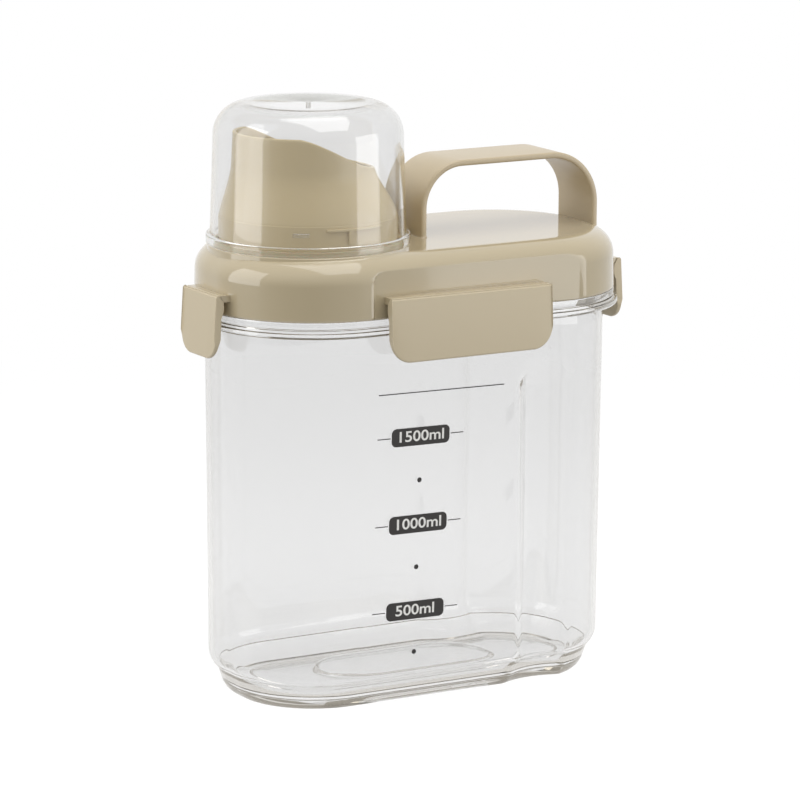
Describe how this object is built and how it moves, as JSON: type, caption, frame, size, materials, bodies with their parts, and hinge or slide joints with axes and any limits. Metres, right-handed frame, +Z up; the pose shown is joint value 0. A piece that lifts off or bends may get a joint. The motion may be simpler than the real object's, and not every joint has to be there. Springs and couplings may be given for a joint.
{
  "type": "cereal container",
  "caption": "Clear oblong cereal jar with grip dents, a latched lid with a carry handle, and a pour spout covered by a clear measuring cup.",
  "frame": {"origin": "middle of the base, on the plane the foot stands on", "axes": "+X from the cup towards the handle, +Y to the back, +Z up; the printed scale is on the -Y face"},
  "size_m": [0.1962, 0.111, 0.2475],
  "materials": {
    "clear_plastic": "clear and glossy",
    "beige_plastic": "glossy lid, satin latches",
    "silicone": "matte, slightly see-through"
  },
  "bodies": {
    "jar_body": {"jar": "clear_plastic"},
    "lid_assembly": {"lid": "beige_plastic", "handle": "beige_plastic", "spout": "beige_plastic", "gasket": "silicone", "film_front": "beige_plastic", "film_back": "beige_plastic", "film_left": "beige_plastic", "film_right": "beige_plastic"},
    "latch_front": {"latch_front": "beige_plastic"},
    "latch_back": {"latch_back": "beige_plastic"},
    "latch_left": {"latch_left": "beige_plastic"},
    "latch_right": {"latch_right": "beige_plastic"},
    "cup_ring": {"cup_seal": "silicone"},
    "cup": {"measuring_cup": "clear_plastic"}
  },
  "joints": [
    {"name": "lid_lift", "type": "slide", "parent": "jar_body", "child": "lid_assembly", "axis": [0, 0, 1], "range_m": [0, 0.06]},
    {"name": "latch_front_hinge", "type": "hinge", "parent": "lid_assembly", "child": "latch_front", "pos_m": [0, -0.0532, 0.1721], "axis": [-1, 0, 0], "range_deg": [0, 115], "deforming": ["film_front"]},
    {"name": "latch_back_hinge", "type": "hinge", "parent": "lid_assembly", "child": "latch_back", "pos_m": [0, 0.0532, 0.1721], "axis": [1, 0, 0], "range_deg": [0, 115], "deforming": ["film_back"]},
    {"name": "latch_left_hinge", "type": "hinge", "parent": "lid_assembly", "child": "latch_left", "pos_m": [-0.0958, 0, 0.1721], "axis": [0, 1, 0], "range_deg": [0, 115], "deforming": ["film_left"]},
    {"name": "latch_right_hinge", "type": "hinge", "parent": "lid_assembly", "child": "latch_right", "pos_m": [0.0958, 0, 0.1721], "axis": [0, -1, 0], "range_deg": [0, 115], "deforming": ["film_right"]},
    {"name": "cup_lift", "type": "slide", "parent": "lid_assembly", "child": "cup_ring", "axis": [0, 0, 1], "range_m": [0, 0.07]},
    {"name": "cup_twist", "type": "hinge", "parent": "cup_ring", "child": "cup", "pos_m": [-0.0466, 0, 0.19], "axis": [0, 0, 1], "range_deg": [0, 21]}
  ]
}
